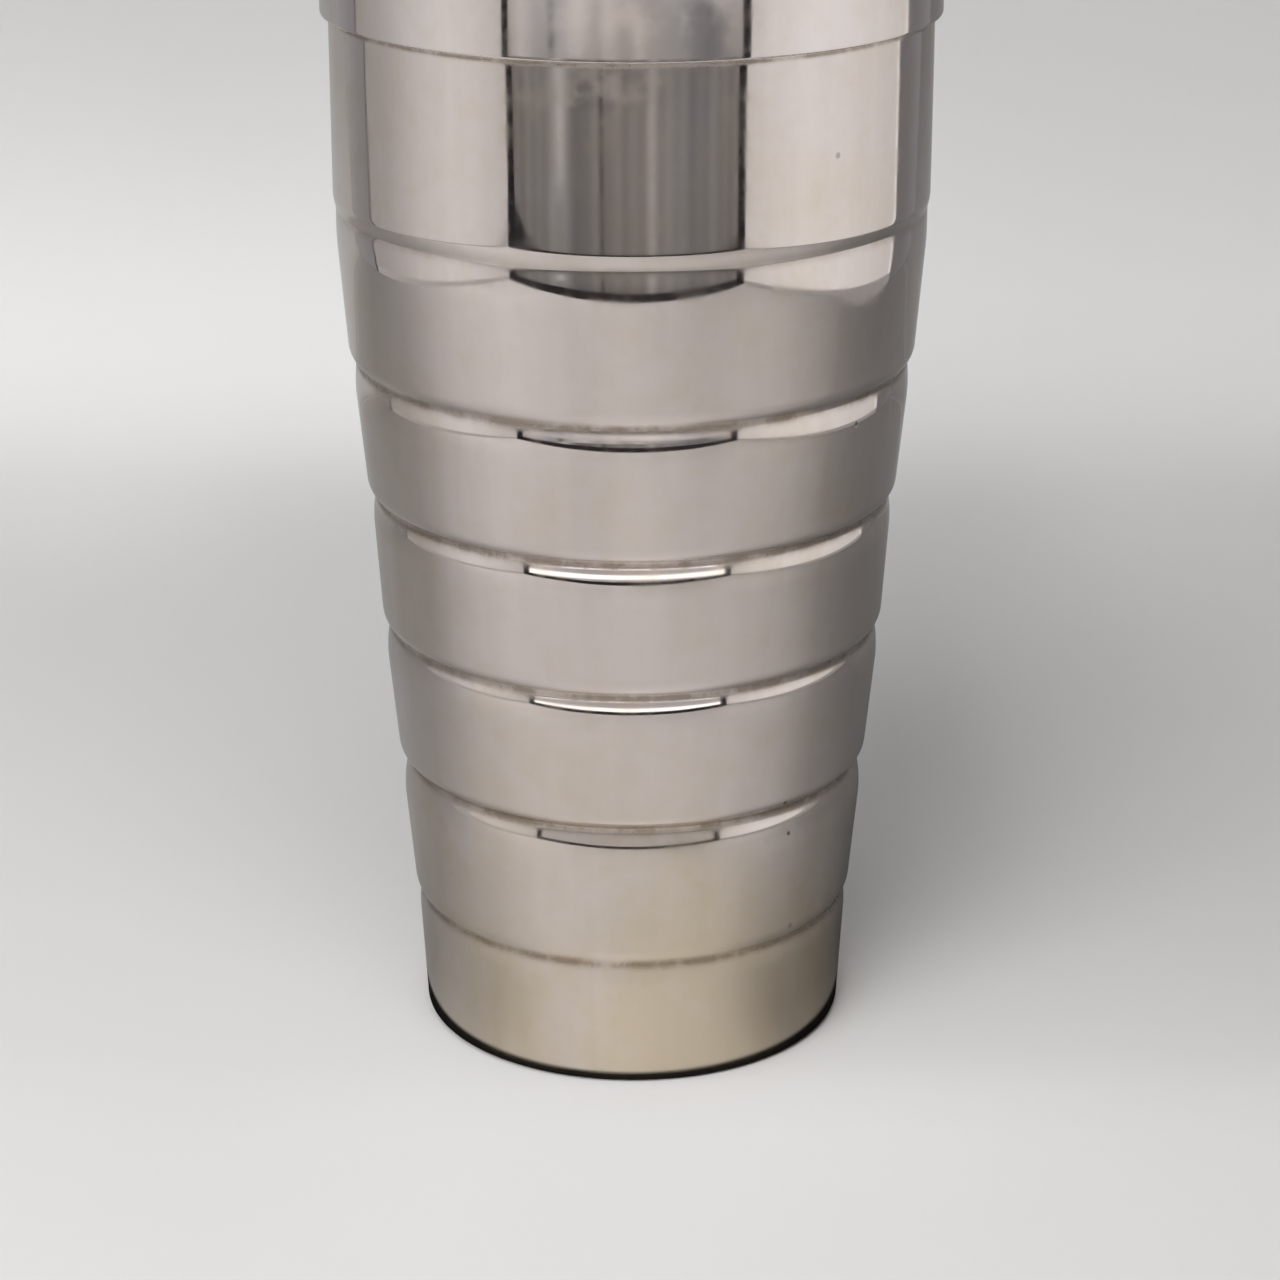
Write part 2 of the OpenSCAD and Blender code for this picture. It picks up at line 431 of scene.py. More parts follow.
outer_z = ring_heights(0.22, 1.5)
inner_z = ring_heights(0.75, 3.5)
outer = [(27.62, 0.0), (29.2, 0.0), (FOOT_R - CORNER - 0.25, 0.0)]
outer += arc(FOOT_R - CORNER, CORNER, CORNER, -86, -4, 12)
outer += [(float(np.interp(z, ZG, RG)), float(z)) for z in outer_z[:-1]]
rim = [(LIP_R, RIM_Z - 0.35), (LIP_R - 0.12, RIM_Z - 0.1), (LIP_R - 0.4, RIM_Z), (LIP_R - 0.68, RIM_Z - 0.1), (LIP_R - WALL, RIM_Z - 0.35)]
inner = [(float(np.interp(z, ZG, RG)) - WALL, float(z)) for z in inner_z[::-1][1:] if z > 3.0]
inner += [(FOOT_R - WALL - 0.02, 2.2), (FOOT_R - WALL - 0.12, 1.4), (FOOT_R - WALL - 0.5, 0.95), (FOOT_R - WALL - 1.0, 0.8), (29.5, 0.8), (27.62, 0.8), (27.5, 0.68), (27.5, 0.12)]
profile = outer + rim + inner
n_out = len(outer) + 2
# Brown darkening along each groove valley: soiling and painted shade in the crease.
tumbler_soiling_and_shade = []
for r, z in profile:
    v = 0.0
    for gz, *_ in GROOVES:
        v = max(v, (0.40 if gz > 120 else 1.15) * math.exp(-(((z - gz) - 0.05) / 0.72) ** 2))
    # Painted shadow of the lid's skirt on the band just under it.
    v = max(v, 1.3 * math.exp(-((z - 156.7) / 0.32) ** 2))
    tumbler_soiling_and_shade.append(v)
tumbler_soiling_and_shade = np.array(tumbler_soiling_and_shade)
mats = [0 if i < n_out else 1 for i in range(len(profile))]


def move_tumbler(th, r, z, i):
    return dents(th, z), 0.0


# The extra darkening round z = 0.4 mm is a painted contact shadow on the foot's lower corner.
tumbler = lathe("tumbler_wall", profile, [body_metal, inner_metal], segs=208, band_mat=mats, move=move_tumbler,
                attrs={"groove": lambda t, z, i: tumbler_soiling_and_shade[i] + 0.5 * np.exp(-((z - 0.4) / 0.9) ** 2)})
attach(tumbler, "tumbler")
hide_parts("tumbler_shell")

base = [(0, 3.4), (8, 3.4), (16, 3.4), (22.4, 3.4), (23.0, 3.36), (23.5, 3.1), (24.9, 1.95), (26.2, 0.95), (26.6, 0.8), (28, 0.8), (30.9, 0.8),
        (31.1, 0.95), (31.1, 1.45), (30.9, 1.6), (28, 1.6), (26.9, 1.62), (26.4, 1.85), (25.1, 2.95), (23.9, 4.0), (23.3, 4.2), (22.4, 4.2), (16, 4.2), (8, 4.2), (0, 4.2)]
base_disc = lathe("tumbler_base_disc", base, [disc_metal], segs=144, closed=False, sharp=50)
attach(base_disc, "tumbler")
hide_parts("tumbler_base")

# ---------------------------------------------------------------- lid
SK_R, SK_Z, DOME_R, DOME_Z, LEDGE_Z, LEDGE_R, NECK_R = 45.0, 157.2, 44.3, 177.4, 196.5, 23.5, 20.4
sk = [(SK_R - WALL, SK_Z + 0.2), (SK_R - WALL + 0.06, SK_Z + 0.06), (SK_R - WALL + 0.2, SK_Z), (SK_R - 0.12, SK_Z), (SK_R - 0.035, SK_Z + 0.035), (SK_R - 0.002, SK_Z + 0.13)]
sk += [(SK_R - 0.0076 * (z - SK_Z - 0.6), z) for z in (SK_Z + 0.3, SK_Z + 0.6, 159, 161, 163.5, 166, 168.5, 171, 173, 174.4)]
sk += arc(SK_R - 1.03, 175.1, 0.9, 0, 62, 7)
last = sk[-1]
joint = [(last[0] - 0.16, last[1] + 0.26), (DOME_R + 0.02, 176.75), (DOME_R, 177.1)]
dome = arc(LEDGE_R, DOME_Z, DOME_R - LEDGE_R, 0, 86, 44, LEDGE_Z - DOME_Z)
ledge = [(23.0, LEDGE_Z - 0.005), (22.0, LEDGE_Z), (20.9, LEDGE_Z), (20.5, LEDGE_Z - 0.12), (20.45, LEDGE_Z - 0.4), (20.45, LEDGE_Z - WALL)]
under = [(22.5, LEDGE_Z - WALL), (LEDGE_R, LEDGE_Z - WALL)] + arc(LEDGE_R, DOME_Z, DOME_R - LEDGE_R - WALL, 86, 0, 26, LEDGE_Z - DOME_Z - WALL)
under += [(DOME_R - WALL + 0.05, 177.0), (SK_R - WALL - 0.15, 176.5), (SK_R - WALL, 176.1), (SK_R - WALL, 174), (SK_R - WALL, 168), (SK_R - WALL, 163), (SK_R - WALL, 159)]
lid_profile = sk + joint + dome + ledge + under
n_out = len(sk + joint + dome + ledge) - 2
# Brown darkening on the lid: soiling and painted shade in the joint of skirt and dome and where the neck meets the
# ledge, and painted shade along the skirt's lower edge.
lid_soiling_and_shade = np.array([math.exp(-((z - 176.6) / 0.7) ** 2) * (1.0 if i < n_out else 0) + 0.45 * math.exp(-((z - SK_Z) / 0.22) ** 2) + 0.6 * math.exp(-((z - LEDGE_Z) / 0.35) ** 2) * (1 if r < 22.6 else 0)
                       for i, (r, z) in enumerate(lid_profile)])


def move_lid(th, r, z, i):
    """Outside above the skirt only: the skirt and the neck hole stay true, because they fit other pieces."""
    k = float(ease(np.array(z), 179.0, 184.0) * (1 - ease(np.array(z), 192.0, 195.5)))
    return 0.014 * k * (np.sin(3 * th + 1.0 + 0.09 * z) + 0.7 * np.sin(5 * th + 2.2 - 0.06 * z)), 0.0


lid = lathe("lid_skirt_and_dome", lid_profile, [lid_metal, inner_metal], segs=208, band_mat=[0 if 3 <= i < n_out else 1 for i in range(len(lid_profile))],
            move=move_lid, attrs={"groove": lambda t, z, i: lid_soiling_and_shade[i]})
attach(lid, "lid")
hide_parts("lid_shell")

col = [(42.2, 7.75), (42.28, 7.45), (42.46, 7.15), (42.6, 7.08), (42.74, 7.15), (42.92, 7.45), (43.0, 7.75), (43.0, 10), (43.0, 13), (43.0, 15.9), (43.1, 16.2), (44.0, 16.2),
       (44.13, 16.3), (44.13, 16.9), (44.0, 17.0), (42.4, 17.0), (42.2, 16.8), (42.2, 13), (42.2, 10)]
col = [(r, z + RIM_Z - 16) for r, z in col]
collar = lathe("lid_inner_collar_ring", col, [inner_metal], segs=176)
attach(collar, "lid")
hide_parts("lid_inner_collar")

NZ, BEAD = 219.0, 20.93
b = arc(NECK_R - 0.97, NZ - 6, BEAD - NECK_R + 0.97, -42, 42, 18)
f = 23.3
neck = [(NECK_R - WALL + 0.1, LEDGE_Z - 2 * WALL), (f - 0.15, LEDGE_Z - 2 * WALL), (f, LEDGE_Z - 2 * WALL + 0.15), (f, LEDGE_Z - WALL - 0.15), (f - 0.15, LEDGE_Z - WALL),
        (NECK_R + 0.1, LEDGE_Z - WALL), (NECK_R, LEDGE_Z - WALL + 0.1), (NECK_R, 198), (NECK_R, 201), (NECK_R, 205), (NECK_R, 209), (NECK_R, b[0][1] - 0.5), (NECK_R + 0.02, b[0][1] - 0.25)]
neck += b
neck += [(NECK_R + 0.02, b[-1][1] + 0.25), (NECK_R, b[-1][1] + 0.5), (NECK_R, 217.2), (NECK_R, NZ - 0.4), (NECK_R - 0.1, NZ - 0.1), (NECK_R - 0.32, NZ), (NECK_R - 0.55, NZ), (NECK_R - 0.74, NZ - 0.1), (NECK_R - WALL, NZ - 0.35),
         (NECK_R - WALL, 215)]
n_mid = len(neck)
neck += [(NECK_R - WALL + 0.25, 214), (NECK_R - WALL + 0.33, 213), (NECK_R - WALL + 0.25, 212), (NECK_R - WALL, 211), (NECK_R - WALL, 206), (NECK_R - WALL, 201), (NECK_R - WALL, 196.5), (NECK_R - WALL, LEDGE_Z - 2 * WALL + 0.15)]
# Brown darkening beside the bead and at the ledge: soiling and painted shade in the creases.
neck_soiling_and_shade = np.array([0.9 * math.exp(-((z - b[0][1]) / 0.5) ** 2) + 0.9 * math.exp(-((z - b[-1][1]) / 0.5) ** 2) + 0.8 * math.exp(-((z - LEDGE_Z) / 0.8) ** 2) for r, z in neck])
neck_ob = lathe("pouring_neck_tube", neck, [neck_metal, inner_metal], segs=160, band_mat=[0 if i < n_mid else 1 for i in range(len(neck))],
                attrs={"groove": lambda t, z, i: neck_soiling_and_shade[i]})
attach(neck_ob, "lid")
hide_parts("pouring_neck")


# ---------------------------------------------------------------- strainer: flat disc, holes with punched, rounded edges
def strainer_plate():
    zt, zb = LEDGE_Z - 2 * WALL, LEDGE_Z - 3 * WALL
    R, rh = 23.2, 1.1
    holes = [(0.0, 0.0)]
    for i in (1, 2, 3):
        for k in range(6 * i):
            a = math.radians(k * 60 / i + 15 * i)
            holes.append((5.0 * i * math.cos(a), 5.0 * i * math.sin(a)))
    nh, no = 28, 120
    lip = 0.22
    verts, faces = [], []

    def side(z, flip):
        """One face of the plate: triangles between the rim and the holes' outer lips."""
        pts, edges = [], []
        for k in range(no):
            a = 2 * math.pi * k / no
            pts.append(Vector(((R - 0.15) * math.cos(a), (R - 0.15) * math.sin(a))))
        edges += [(k, (k + 1) % no) for k in range(no)]
        for hx, hy in holes:
            s = len(pts)
            for k in range(nh):
                a = -2 * math.pi * k / nh
                pts.append(Vector((hx + (rh + lip) * math.cos(a), hy + (rh + lip) * math.sin(a))))
            edges += [(s + k, s + (k + 1) % nh) for k in range(nh)]
        count = len(pts)
        for gx in np.arange(-22.5, 22.6, 2.5):
            for gy in np.arange(-22.5, 22.6, 2.5):
                if math.hypot(gx, gy) < R - 0.9 and all(math.hypot(gx - hx, gy - hy) > rh + lip + 0.45 for hx, hy in holes):
                    pts.append(Vector((float(gx), float(gy))))
        v, _, fc, orig, _, _ = geometry.delaunay_2d_cdt(pts, edges, [], 0, 1e-6)
        base_i = len(verts)
        for q in v:
            verts.append((q.x * MM, q.y * MM, z * MM))
        for t in fc:
            cx = sum(v[i].x for i in t) / len(t)
            cy = sum(v[i].y for i in t) / len(t)
            if math.hypot(cx, cy) > R - 0.15 or any(math.hypot(cx - hx, cy - hy) < rh + lip - 0.01 for hx, hy in holes):
                continue
            t = list(t)
            a, b2, c = (v[i] for i in t[:3])
            up = (b2.x - a.x) * (c.y - a.y) - (b2.y - a.y) * (c.x - a.x) > 0
            if up == flip:
                t = t[::-1]
            faces.append(tuple(base_i + i for i in t))
        ids = {}
        for new, olds in enumerate(orig):
            for o in olds:
                ids[o] = base_i + new
        rim_ids = [ids[k] for k in range(no)]
        hole_ids = [[ids[no + j * nh + k] for k in range(nh)] for j in range(len(holes))]
        return rim_ids, hole_ids

    top_rim, top_holes = side(zt, False)
    bot_rim, bot_holes = side(zb, True)

    def ring(cx, cy, r, z, n, sign):
        s = len(verts)
        for k in range(n):
            a = sign * 2 * math.pi * k / n
            verts.append(((cx + r * math.cos(a)) * MM, (cy + r * math.sin(a)) * MM, z * MM))
        return list(range(s, s + n))

    def strip(a, b2):
        n = len(a)
        for k in range(n):
            faces.append((a[k], a[(k + 1) % n], b2[(k + 1) % n], b2[k]))

    e1, e2 = ring(0, 0, R, zb + 0.15, no, 1), ring(0, 0, R, zt - 0.15, no, 1)
    strip(bot_rim, e1)
    strip(e1, e2)
    strip(e2, top_rim)
    for (hx, hy), th_, bh in zip(holes, top_holes, bot_holes):
        r1 = ring(hx, hy, rh + 0.06, zb + 0.05, nh, -1)
        r2 = ring(hx, hy, rh, zb + 0.2, nh, -1)
        r3 = ring(hx, hy, rh, zt - 0.2, nh, -1)
        r4 = ring(hx, hy, rh + 0.06, zt - 0.05, nh, -1)
        for a, b2 in ((bh, r1), (r1, r2), (r2, r3), (r3, r4), (r4, th_)):
            strip(a, b2)
    return new_mesh("strainer_plate", verts, faces, [strainer_metal], None, 45)


strainer = strainer_plate()
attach(strainer, "lid")
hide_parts("strainer_disc")

# ---------------------------------------------------------------- cap
CAP_R, CAP_Z, CROWN_Z, TOP_Z = 21.8, 196.8, 224.0, 229.5
CIN = CAP_R - WALL
cap = [(CIN, CAP_Z + 0.45), (CIN + 0.08, CAP_Z + 0.14), (CIN + 0.3, CAP_Z + 0.02), (CAP_R + 0.1, CAP_Z)]
cap += arc(CAP_R, CAP_Z + 0.72, 0.7, -62, 74, 16)
cap += [(CAP_R + 0.03, CAP_Z + 1.62), (CAP_R, CAP_Z + 2.0)]
cap += [(CAP_R, z) for z in np.arange(200.0, 223.6, 1.8)]
cap += arc(CAP_R - 3, CROWN_Z, 3, 0, 66, 16)
crown = arc(0, TOP_Z - 3.4, 18.2, 24, 90, 26, 3.4)
cap += crown[1:-1] + [(0.0, TOP_Z)]
n_mid = len(cap)
cap += [(0.0, TOP_Z - WALL)] + arc(0, TOP_Z - 3.4, 17.6, 88, 28, 14, 3.4 - WALL) + arc(CAP_R - 3, CROWN_Z, 3 - WALL, 58, 0, 8)
cap += [(CIN, z) for z in (221, 217, 213, 209, 205, 201, 198.4)]
# Brown darkening in the crease just above the cap's rim bead: soiling and painted shade.
cap_soiling_and_shade = np.array([0.8 * math.exp(-((z - (CAP_Z + 1.65)) / 0.45) ** 2) if r > CIN + 0.2 else 0.0 for r, z in cap])


def move_cap(th, r, z, i):
    k = float(ease(np.array(z), 202.0, 208.0)) * min(1.0, r / 6.0)
    if r <= CIN + 0.1:
        k = 0.0
    return 0.010 * k * (np.sin(2 * th + 0.7 + 0.12 * z) + 0.8 * np.sin(5 * th - 0.4 - 0.1 * z)), 0.0


cap_ob = lathe("cap_cup", cap, [lid_metal, inner_metal], segs=176, closed=True, band_mat=[0 if i < n_mid - 1 else 1 for i in range(len(cap))],
               move=move_cap, attrs={"groove": lambda t, z, i: cap_soiling_and_shade[i]})
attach(cap_ob, "cap")
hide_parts("cap_shell")

ck = [(0, 0), (4, 0), (8, 0), (12, 0), (16, 0), (19.4, 0), (19.9, 0.02), (20.6, 0.1), (20.85, 0.4), (20.9, 0.9), (20.92, 2.1), (20.92, 3.4), (20.9, 4.2), (20.7, 4.55), (20.3, 4.6),
      (16, 4.6), (10, 4.6), (0, 4.6)]
ck = [(r, z + CROWN_Z - 4.6) for r, z in ck]


def move_cork(th, r, z, i):
    """The neck's mouth has printed a shallow ring into the disc's lower face; the rest is a little uneven."""
    ringed = 0.12 * math.exp(-((r - 20.0) / 0.45) ** 2) if z < 220 else 0.0
    return 0.0, ringed + (0.03 * (1 + np.sin(7 * th + r)) if z < 220 and r < 19 else 0.0)


cork_ob = lathe("cap_cork_disc", ck, [cork], segs=128, closed=False, move=move_cork, sharp=60)
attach(cork_ob, "cap")
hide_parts("cap_cork_liner")


# ---------------------------------------------------------------- studio: one pale sheet that curves up behind
def emission(name, attr, strength):
    m = bpy.data.materials.new(name)
    m.use_nodes = True
    nt = m.node_tree
    nt.nodes.clear()
    e = nt.nodes.new("ShaderNodeEmission")
    o = nt.nodes.new("ShaderNodeOutputMaterial")
    a = nt.nodes.new("ShaderNodeAttribute")
    a.attribute_name = attr
    nt.links.new(a.outputs["Color"], e.inputs["Color"])
    e.inputs["Strength"].default_value = strength
    nt.links.new(e.outputs[0], o.inputs["Surface"])
    return m


def bell(x, c, w):
    return math.exp(-(((x - c) / w) ** 2))


def step(x, a, b):
    t = min(1.0, max(0.0, (x - a) / (b - a)))
    return t * t * (3 - 2 * t)


def paper():
    """Matt pale sheet; it can only be seen from its inner side, so that no view is blocked."""
    m = bpy.data.materials.new("paper")
    m.use_nodes = True
    nt = m.node_tree
    bsdf = next(n for n in nt.nodes if n.type == "BSDF_PRINCIPLED")
    out = next(n for n in nt.nodes if n.type == "OUTPUT_MATERIAL")
    g = N(nt)
    shade = g.node("ShaderNodeAttribute", attribute_name="shade").outputs["Color"]
    c = g.mix(g.mapr(g.noise(g.coord(), 5.0, 3.0, 0.5), 0.3, 0.7), rgb(0.738, 0.732, 0.727), rgb(0.758, 0.752, 0.747))
    # The 'shade' attribute multiplies the colour by painted light and shade.
    g.put(bsdf.inputs["Base Color"], g.mix(1.0, c, shade, "MULTIPLY"))
    bsdf.inputs["Roughness"].default_value = 0.75
    bsdf.inputs["Specular IOR Level"].default_value = 0.25
    geo = nt.nodes.new("ShaderNodeNewGeometry")
    tr = nt.nodes.new("ShaderNodeBsdfTransparent")
    mx = nt.nodes.new("ShaderNodeMixShader")
    nt.links.new(geo.outputs["Backfacing"], mx.inputs[0])
    nt.links.new(bsdf.outputs[0], mx.inputs[1])
    nt.links.new(tr.outputs[0], mx.inputs[2])
    nt.links.new(mx.outputs[0], out.inputs["Surface"])
    return m


def sheet_painted_light(x, s):
    """How pale the sheet is painted across (x) and along (s, metres from the object's axis, measured up the curve). It
    is painted light and shade: a painted pool of light where the sheet curves up, painted shade higher up the wall,
    painted light in front of the object and off to each side behind it, a painted patch of light just in front of the
    foot, and a painted shadow of the object just behind it on the right.
    """
    v = 1.0 + 0.32 * bell(s, 0.33, 0.065) - (0.17 - 0.09 * step(x, -0.02, 0.06)) * bell(s, 0.47, 0.07)
    v += (0.09 - 0.055 * step(-x, 0.02, 0.07)) * step(-s, 0.015, 0.045) + 0.07 * bell(x, 0.015, 0.045) * bell(s, -0.045, 0.03)
    v += 0.12 * bell(s, 0.25, 0.05) * step(-x, 0.06, 0.13) + 0.16 * bell(s, 0.22, 0.08) * step(x, 0.06, 0.12)
    v -= 0.15 * bell(x, 0.052, 0.016) * bell(s, 0.11, 0.06)
    return v


Y0, RC = 0.275, 0.125
ACROSS = [-0.9, -0.6, -0.4, -0.3] + [round(float(x), 4) for x in np.arange(-0.24, 0.2401, 0.012)] + [0.3, 0.4, 0.6, 0.9]


def sheet_profile():
    """(y, z, distance along) from the front edge of the mirrored part, under the object and up the wall behind it."""
    prof = [(float(y), 0.0, float(y)) for y in np.arange(-0.40, Y0 - 0.004, 0.0135)]
    for k in range(0, 21):
        a = math.radians(90 * k / 20)
        prof.append((Y0 + RC * math.sin(a), RC - RC * math.cos(a), Y0 + RC * a))
    return prof + [(Y0 + RC, z, Y0 + RC * math.pi / 2 + z - RC) for z in (0.14, 0.17, 0.25, 0.42, 0.6)]


def sheet_part(name, prof, mat, attr, tone, xs):
    """Faces look up and forwards."""
    verts = [(x, float(y), float(z)) for y, z, _ in prof for x in xs]
    n = len(xs)
    faces = [(i * n + k, i * n + k + 1, (i + 1) * n + k + 1, (i + 1) * n + k) for i in range(len(prof) - 1) for k in range(n - 1)]
    mesh = bpy.data.meshes.new(name)
    mesh.from_pydata(verts, [], faces)
    at = mesh.attributes.new(attr, "FLOAT_COLOR", "POINT")
    at.data.foreach_set("color", np.array([[*tone(x, q), 1.0] for q in prof for x in xs], np.float32).ravel())
    mesh.materials.append(mat)
    mesh.shade_smooth()
    ob = bpy.data.objects.new(name, mesh)
    scene.collection.objects.link(ob)
    return ob


def painted_mirror_shade(x, q):
    """Painted shade on the sheet as the metal mirrors it, by direction round the object: less of the sheet's light from
    the sides and the back, standing for the unlit room behind the light box; a painted contact shadow, with nearly none
    from the sheet right against the foot; painted darker and lighter zones to the sides at different distances; and a
    slight painted highlight straight in front of the foot."""
    y, z, _ = q
    r = math.hypot(x, y)
    psi = math.degrees(math.atan2(abs(x), -y))
    left = [(0, 1.0), (42, 0.99), (50, 0.96), (58, 0.90), (66, 0.84), (72, 0.78), (85, 0.65), (97, 0.54), (110, 0.53), (120, 0.55), (131, 0.60), (150, 0.60), (180, 0.62)]
    right = [(0, 1.0), (40, 0.98), (50, 0.92), (58, 0.86), (66, 0.79), (72, 0.72), (85, 0.56), (97, 0.49), (110, 0.43), (120, 0.40), (131, 0.40), (150, 0.40), (180, 0.62)]
    table = left if x < 0 else right
    v = float(np.interp(psi, [t[0] for t in table], [t[1] for t in table]))
    if z < 0.002:
        v *= float(np.interp(r, [0.0, 0.0347, 0.0355, 0.085, 0.15, 0.22, 0.30, 0.4], [0.03, 0.03, 1.04, 1.02, 0.95, 0.88, 0.80, 0.78]))
        side = float(np.interp(r, [0.046, 0.07, 0.10, 0.20, 0.30], [0.74, 0.86, 0.93, 1.0, 1.08] if x < 0 else [0.50, 0.70, 0.84, 1.02, 1.36]))
        v *= 1.0 + (side - 1.0) * step(psi, 20.0, 60.0)
        v *= 1.0 + 0.12 * bell(psi, 0.0, 14.0) * step(-r, -0.075, -0.045)
    return (v, v, v)


def veil():
    """A tinted film just over the sheet that only mirrored rays meet, carrying painted shade, a painted contact shadow
    and a painted highlight: rings round the foot, then on up the wall.
    """
    m = bpy.data.materials.new("veil")
    m.use_nodes = True
    nt = m.node_tree
    nt.nodes.clear()
    t = nt.nodes.new("ShaderNodeBsdfTransparent")
    o = nt.nodes.new("ShaderNodeOutputMaterial")
    a = nt.nodes.new("ShaderNodeAttribute")
    a.attribute_name = "tint"
    nt.links.new(a.outputs["Color"], t.inputs["Color"])
    nt.links.new(t.outputs[0], o.inputs["Surface"])
    rings = [0.026, 0.031, 0.0326, 0.0335, 0.0347, 0.0351, 0.0355, 0.038, 0.044, 0.055, 0.07, 0.085, 0.11, 0.14, 0.17, 0.20, 0.25, 0.32, 0.45, 0.6]
    segs = 120
    verts, cols, faces = [], [], []
    for r in rings:
        for k in range(segs):
            a1 = 2 * math.pi * (k + 0.5) / segs
            x, y = r * math.sin(a1), -r * math.cos(a1)
            if y < -0.399:
                x, y = x * (-0.399 / y), -0.399
            if y > Y0:
                x, y = x * (Y0 / y), Y0
            verts.append((x, y, 0.0001))
            cols.append([*painted_mirror_shade(x, (y, 0.0, 0.0)), 1.0])
    for i in range(len(rings) - 1):
        for k in range(segs):
            k2 = (k + 1) % segs
            faces.append((i * segs + k, (i + 1) * segs + k, (i + 1) * segs + k2, i * segs + k2))
    mesh = bpy.data.meshes.new("veil_floor")
    mesh.from_pydata(verts, [], faces)
    at = mesh.attributes.new("tint", "FLOAT_COLOR", "POINT")
    at.data.foreach_set("color", np.array(cols, np.float32).ravel())
    mesh.materials.append(m)
    floor = bpy.data.objects.new("veil_floor", mesh)
    scene.collection.objects.link(floor)
    up = [(y - 0.0006, z + 0.0007, q) for y, z, q in sheet_profile() if y >= Y0]
    back = sheet_part("veil_back", up, m, "tint", lambda x, q: painted_mirror_shade(x, q), ACROSS)
    for ob in (floor, back):
        ob.visible_camera = False
        ob.visible_diffuse = False
        ob.visible_shadow = False


sheet_paper = paper()
sheet_part("sweep", sheet_profile(), sheet_paper, "shade", lambda x, q: [sheet_painted_light(x, q[2])] * 3, ACROSS)
front_part = sheet_part("sweep_front", [(y, 0.0, y) for y in (-1.3, -0.9, -0.6, -0.45, -0.40)], sheet_paper, "shade", lambda x, q: [sheet_painted_light(x, q[2])] * 3, ACROSS)
front_part.visible_glossy = False
veil()

# Painted reflections: glowing cards that light nothing and that only the polished metal mirrors, standing for the light
# box the object stands in. Its open front is a dark doorway with black frame edges, its two side walls are bright
# panels, and the ground behind them is duller. Everything is in metres.
X_L, X_R, Y_F, Y_B = -0.407, 0.356, -0.40, 0.40


def across(az):
    """Where a ray mirrored towards azimuth az by the upper wall crosses the open front, in metres from the middle."""
    phi = az / 2.2
    for _ in range(12):
        phi = (az - math.atan2(0.0438 * math.sin(phi), 0.5105 - 0.0438 * math.cos(phi))) / 2
    return 0.0438 * math.sin(phi) + math.tan(az) * (0.40 - 0.0438 * math.cos(phi))


def room(az, el):
    """Painted reflection of the room seen through the open front, its brightness by direction (radians across, degrees
    up): a dark table top with streaks of light, a paler wall over it, a bright window strip, and plain wall above."""
    x = across(az)
    dim = 0.215 + 0.018 * math.sin(x * 61 + 0.5) + 0.015 * math.sin(x * 143 + 1.0)
    dim += 0.22 * bell(x, -0.190, 0.016) * step(el, -12.9, -11.9) + 0.08 * bell(x, -0.205, 0.045) + 0.15 * bell(x, 0.052, 0.014) + 0.05 * bell(x, 0.085, 0.03) + 0.04 * bell(x, -0.03, 0.012)
    dim -= 0.12 * bell(x, -0.075, 0.007) + 0.04 * bell(x, -0.13, 0.02)
    dim *= 0.85 + 0.30 * step(el, -17.0, -11.5)
    pale = 0.44 + 0.28 * bell(x, -0.135, 0.035) + 0.20 * bell(x, -0.055, 0.02) - 0.22 * bell(x, -0.205, 0.012) - 0.22 * bell(x, 0.20, 0.085) + 0.20 * bell(x, -0.31, 0.045)
    pale += 0.45 * bell(x, 0.018, 0.018) * bell(el, -9.45, 0.35) - 0.30 * bell(x, 0.012, 0.028) * bell(el, -9.85, 0.16)
    far = 0.68 - 0.10 * step(el, -4.0, -2.0)
    w = step(el, -8.75, -8.3)
    pale = pale * (1 - w) + far * w
    line = 0.12 * bell(el, -10.45, 0.09) * (1 if x > -0.16 else 0)
    up = step(el, -10.16, -9.98)
    v = (dim - line) * (1 - up) + pale * up
    v += 1.25 * step(el, -7.9, -7.0) * (1 - step(el, -4.2, -3.0))
    v *= 1.0 - 0.25 * step(el, 12.0, 40.0)
    tint = 0.02 * math.sin(x * 17 + 2)
    return (max(0.0, v * (1.0 + tint)), max(0.0, v * 0.985), max(0.0, v * (0.985 - tint)))


def side_panel(y, z, left):
    """Painted reflection of a side wall: its brightness from its front edge (y = Y_F) to where it stops behind the
    object.
    """
    end = (0.190 if left else 0.165) - (0.4 * max(0.0, 0.09 - z) if left else 0.0)
    if y > end:
        w = step(y, end, 0.40)
        v = (0.30 + 0.10 * w) if left else (0.20 + 0.08 * w)
        if left and y < end + 0.010:
            v *= 0.40
        return (v, v * 1.0, v * 1.04)
    w = (y - Y_F) / (end - Y_F)
    v = (0.85 if left else 0.97) * (0.80 + 0.20 * math.sin(math.pi * min(1.0, w * 1.05)))
    if left:
        v *= 1.0 - 0.36 * step(y, -0.20, 0.12)
    elif y > end - 0.012:
        v *= 1.25
    v *= 1.0 - 0.2 * step(z, 0.22, 0.5)
    v = v * step(z, 0.0105, 0.0125) + (0.50 if left else 0.40) * (1 - step(z, 0.0105, 0.0125))
    return (v, v * 0.995, v * 0.99)


def glowing(name, verts, faces, cols, mat):
    """Seen only in reflections: the camera, shadows and the sheet itself ignore it."""
    mesh = bpy.data.meshes.new(name)
    mesh.from_pydata(verts, [], faces)
    at = mesh.attributes.new("glow", "FLOAT_COLOR", "POINT")
    at.data.foreach_set("color", np.array([[*c, 1.0] for c in cols], np.float32).ravel())
    mesh.materials.append(mat)
    ob = bpy.data.objects.new(name, mesh)
    scene.collection.objects.link(ob)
    ob.visible_camera = False
    ob.visible_shadow = False
    ob.visible_diffuse = False
    return ob


